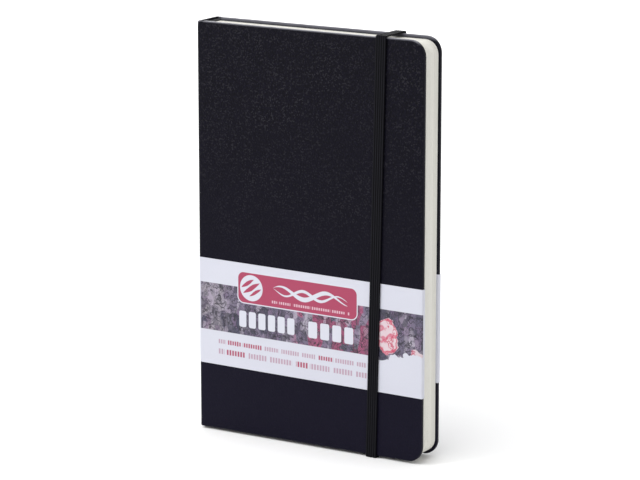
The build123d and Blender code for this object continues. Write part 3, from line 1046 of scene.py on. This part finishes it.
def headband_bead(place, material):
    """The woven bead at the head or the tail, with a rib for each turn of thread."""
    low, high = box_mm(f"{place}_headband")
    radius, tall = (high.x - low.x) / 2, high.z - low.z
    loops = []
    for k in range(BEAD_STEPS + 1):
        y = low.y + 0.04 + (high.y - low.y - 0.08) * k / BEAD_STEPS
        rib = 1.0 - 0.10 * abs(math.sin(math.pi * (y - low.y) / BEAD_PITCH)) ** 3
        loop = []
        for a in (math.pi * m / 10 for m in range(11)):
            dx = radius - radius * math.cos(a) * (0.96 + 0.04 * rib)
            dz = tall * rib * math.sin(a) ** 0.7
            loop.append((low.x + dx, y, low.z + dz if place == "head" else high.z - dz))
        loops.append(loop)
    return add_mesh(f"{place}_headband_bead", *loft(loops), material, sharp=60)


bead_paint = headband_cloth()
for place in anchors:
    piece(headband_bead(place, bead_paint), "headband_cloth", f"{place}_headband",
          ride="book_spine")

# ---- elastic ----
ELASTIC_T = run_high.y - run_low.y
END_THINNING = 0.42       # the glued end is pressed this much thinner
INNER_Y, MIDDLE_Y = -run_high.y, -(run_low.y + run_high.y) / 2
TURN_R = MIDDLE_Y - INNER_Y
SLOT_TURN_R = 0.5
BOTTOM_Z, TOP_Z = run_low.z, run_high.z
LOW_TURN, HIGH_TURN = BOTTOM_Z + ELASTIC_T, TOP_Z - ELASTIC_T
elastic_x = {place: (low.x + high.x) / 2 for place, (low, high) in anchors.items()}


def slanted(z):
    """The middle of the run at z: it lies at a slight slant."""
    part = (z - BOTTOM_Z) / (TOP_Z - BOTTOM_Z)
    return elastic_x["tail"] + (elastic_x["head"] - elastic_x["tail"]) * part


def elastic_run():
    path = [(-y, z) for y, z in arc((INNER_Y, LOW_TURN), TURN_R, -90, 0)]
    path += [(-MIDDLE_Y, LOW_TURN + (HIGH_TURN - LOW_TURN) * k / 24) for k in range(1, 24)]
    path += [(-y, z) for y, z in arc((INNER_Y, HIGH_TURN), TURN_R, 0, 90)]
    return strap("elastic_run_ribbed", path, slanted, ELASTIC_T, elastic_paint)


def elastic_arm(place):
    """The length across the head or tail, and the height of its middle."""
    low, high = box_mm(f"elastic_{place}_arm")
    z, reach = (low.z + high.z) / 2, high.y
    path = [(-reach + 2 * reach * k / 10, z) for k in range(11)]
    arm = strap(f"elastic_{place}_arm_ribbed", path, lambda z: elastic_x[place], ELASTIC_T,
                elastic_paint)
    return arm, z


def elastic_end(place):
    """Down the back face, in through the slot and along under the endpaper."""
    low, high = anchors[place]
    edge_z, turn_z, far_z, sense = (
        (HEAD_Z, HIGH_TURN, low.z, 1) if place == "head" else (TAIL_Z, LOW_TURN, high.z, -1)
    )
    tab_y = low.y + 0.26
    path = arc((INNER_Y, -abs(turn_z - edge_z)), TURN_R, -90, 0)
    path += [(MIDDLE_Y, 1.5), (MIDDLE_Y, 3.5), (MIDDLE_Y, 5.5)]
    path += arc((MIDDLE_Y - SLOT_TURN_R, SLOT_INSET - SLOT_TURN_R), SLOT_TURN_R, 0, 90, 6)
    path += [(8.6, SLOT_INSET)]
    path += arc((tab_y + SLOT_TURN_R, SLOT_INSET + SLOT_TURN_R), SLOT_TURN_R, -90, -180, 6)
    path += [(tab_y, 10.0), (tab_y, 14.0), (tab_y, abs(far_z - edge_z) - 0.1)]
    count = len(path)

    def thickness(n):
        return ELASTIC_T - END_THINNING * ease(n, count - 10, count - 4)

    return strap(f"elastic_{place}_end_ribbed", [(y, edge_z - sense * down) for y, down in path],
                 lambda z: elastic_x[place], thickness, elastic_paint)


piece(elastic_run(), "black_elastic", "elastic_front_run", ride="elastic_run")
for place in anchors:
    arm, arm_z = elastic_arm(place)
    piece(arm, "black_elastic", f"elastic_{place}_arm", ride="back_cover")
    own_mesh(arm)
    piece(elastic_end(place), "black_elastic", f"elastic_{place}_end", ride="back_cover")

# ---- paper band ----
BAND_T = 0.15
BAND_Y = -band_low.y - BAND_T / 2
BAND_FORE = band_high.x - BAND_T / 2
FLAP_Y = -band_high.y + BAND_T / 2
FOLD_R, FLAP_R = 0.62, 0.38
BAND_HEIGHT = 55.0
BAND_SPINE_X = SPINE_X - 0.105
BAND_SPINE_R = SPINE_R + 0.10

# The band sits askew: how far its lower edge is above band_low.z at the spine and fore-edge.
back_low, back_high = box_mm("band_back_panel")
slants = {
    "front": (band_high.z - band_low.z - BAND_HEIGHT, 0.0),
    "back": (back_low.z - band_low.z, back_high.z - band_low.z - BAND_HEIGHT),
}


def band_lengths(path, start):
    """How far each point is along the paper, measured from the book's spine edge."""
    out = [start]
    for a, b in zip(path, path[1:]):
        out.append(out[-1] + math.hypot(b[0] - a[0], b[1] - a[1]))
    return out


def bow(x):
    """The paper stands a little off the cover where nothing holds it down."""
    return 0.10 * math.exp(-((x + 18) / 26) ** 2)


def band_sheet(name, path, lengths, lifts, printed):
    """A sheet of the band. printed says which side has ink: 1 for it, from 1 left or 0 right."""
    return sheet(
        name, path, BAND_T,
        lambda n, x, y: (band_low.z + lifts[n], band_low.z + BAND_HEIGHT + lifts[n]),
        band_paint, rows=4,
        extra=lambda n, z, left: (lengths[n], z - lifts[n], printed(left)),
    )


def band_panel(side, back):
    """The band over one cover, round the fore-edge and in behind the cover."""
    xs = [JOIN_X + (JOINT_X - JOIN_X) * k / 12 for k in range(13)]
    xs += [JOINT_X + 1.2 + (FORE_X - 3.0 - JOINT_X) * k / 24 for k in range(25)]
    path = [(x, -BAND_Y - bow(x)) for x in xs if x < BAND_FORE - FOLD_R - 0.2]
    x, y = BAND_FORE - FOLD_R, -BAND_Y + FOLD_R
    path += [(x + FOLD_R * math.sin(a), y - FOLD_R * math.cos(a)) for a in quarter(8)]
    x, y = BAND_FORE - FLAP_R, -FLAP_Y - FLAP_R
    path += [(x + FLAP_R * math.cos(a), y + FLAP_R * math.sin(a)) for a in quarter(6)]
    path += [(55.0, -FLAP_Y), (40.0, -FLAP_Y), (20.2, -FLAP_Y)]
    lengths = band_lengths(path, JOIN_X - SPINE_X)
    at_spine, at_edge = slants[side]
    slope = (at_edge - at_spine) / (FORE_X - JOIN_X)
    lifts = [at_spine + slope * (length - lengths[0]) for length in lengths]
    if back:
        path = [(x, -y) for x, y in path]
    return band_sheet(f"band_{side}_paper", path, lengths, lifts,
                      (lambda left: 0.0) if back else (lambda left: 1.0 - left))


def band_spine():
    """The band round the spine. It slopes from the front panel's lift to the back panel's."""
    path = [(JOIN_X, -BAND_Y), (JOIN_X - 0.3, -BAND_Y)]
    x, y = BAND_SPINE_X + BAND_SPINE_R, -BAND_Y + BAND_SPINE_R
    path += [(x - BAND_SPINE_R * math.sin(a), y - BAND_SPINE_R * math.cos(a)) for a in quarter(8)]
    path += [(BAND_SPINE_X, y) for y in (-5.0, -2.0)]
    path += [(x, -y) for x, y in reversed(path)]
    first = JOIN_X - SPINE_X
    lengths = [2 * first - length for length in band_lengths(path, first)]
    from_front, to_back = slants["front"][0], slants["back"][0]
    slope = (to_back - from_front) / (lengths[0] - lengths[-1])
    lifts = [from_front + slope * (lengths[0] - length) for length in lengths]
    return band_sheet("band_spine_paper", path, lengths, lifts, lambda left: left)


for side, back in SIDES.items():
    piece(band_panel(side, back), "band_paper", f"band_{side}_panel",
          bend=("band_sleeve", f"band_{side}", *JOINT))
piece(band_spine(), "band_paper", "band_spine_panel", ride="band_sleeve")

# ---- floor, light and camera ----
floor_paint = Paint("studio_floor")
floor_paint.bumps((floor_paint.noise(40.0, 3.0), 0.05, 0.1))
floor_paint.finish(
    floor_paint.mix(floor_paint.noise(400.0, 2.0), (0.90, 0.90, 0.90), (0.92, 0.92, 0.92)),
    0.85, specular=0.1,
)
FLOOR_R, FLOOR_Z, FLOOR_SIDES = 9000, -0.02, 96
floor_edge = [(FLOOR_R * math.cos(a), FLOOR_R * math.sin(a), FLOOR_Z)
              for a in (math.tau * k / FLOOR_SIDES for k in range(FLOOR_SIDES))]
floor = add_mesh("studio_floor", floor_edge, [tuple(range(FLOOR_SIDES))], floor_paint.material)

HORIZON_LIGHT, ZENITH_LIGHT = 0.85, 0.55
OVERHEAD_LIGHT = 1.8
KEY_POWER = 3.0
RIM_POWER = 9.0
VIEW_AZ, VIEW_EL, VIEW_DISTANCE, LENS = 31.09, 12.74, 1.457, 164.6
AIM = Vector((0.0010, 0.0006, 0.1046))

# A pale studio: bright near the horizon, softer overhead.
world = bpy.data.worlds.new("studio")
world.use_nodes = True
sky = world.node_tree
direction = sky.nodes.new("ShaderNodeSeparateXYZ")
sky.links.new(sky.nodes.new("ShaderNodeTexCoord").outputs["Generated"], direction.inputs[0])
height = sky.nodes.new("ShaderNodeMapRange")
height.interpolation_type = "SMOOTHSTEP"
for socket, value in zip(height.inputs[1:], (0.25, 0.75, HORIZON_LIGHT, ZENITH_LIGHT)):
    socket.default_value = value
sky.links.new(direction.outputs[2], height.inputs[0])
background = sky.nodes["Background"]
background.inputs["Color"].default_value = (1.0, 1.0, 1.0, 1.0)
sky.links.new(height.outputs[0], background.inputs["Strength"])
bpy.context.scene.world = world
bpy.context.scene.view_settings.view_transform = "Standard"

middle = Vector((0, 0, 0.105))


def toward(azimuth, elevation):
    """Unit vector from the book towards a light or the camera."""
    a, e = math.radians(azimuth), math.radians(elevation)
    return Vector((math.sin(a) * math.cos(e), -math.cos(a) * math.cos(e), math.sin(e)))


def aimed(direction):
    """The rotation of a light or camera that looks along direction."""
    return direction.to_track_quat("-Z", "Y").to_euler()


def softbox(name, azimuth, elevation, distance, size, power):
    data = bpy.data.lights.new(name, "AREA")
    data.shape, data.size, data.energy = "SQUARE", size, power
    light = placed(name, data)
    light.visible_camera = False
    light.location = middle + toward(azimuth, elevation) * distance
    light.rotation_euler = aimed(-toward(azimuth, elevation))


overhead = bpy.data.lights.new("overhead", "SUN")
overhead.energy, overhead.angle = OVERHEAD_LIGHT, math.radians(50)
placed("overhead", overhead).rotation_euler = aimed(-toward(-25, 76))
softbox("key", -38, 32, 1.05, 0.22, KEY_POWER)
softbox("rim", 208, 15, 1.9, 0.9, RIM_POWER)

camera_data = bpy.data.cameras.new("camera")
camera_data.sensor_width, camera_data.lens = 36.0, LENS
camera = placed("camera", camera_data)
camera.location = middle + toward(VIEW_AZ, VIEW_EL) * VIEW_DISTANCE
camera.rotation_euler = aimed(AIM - camera.location)
bpy.context.scene.camera = camera
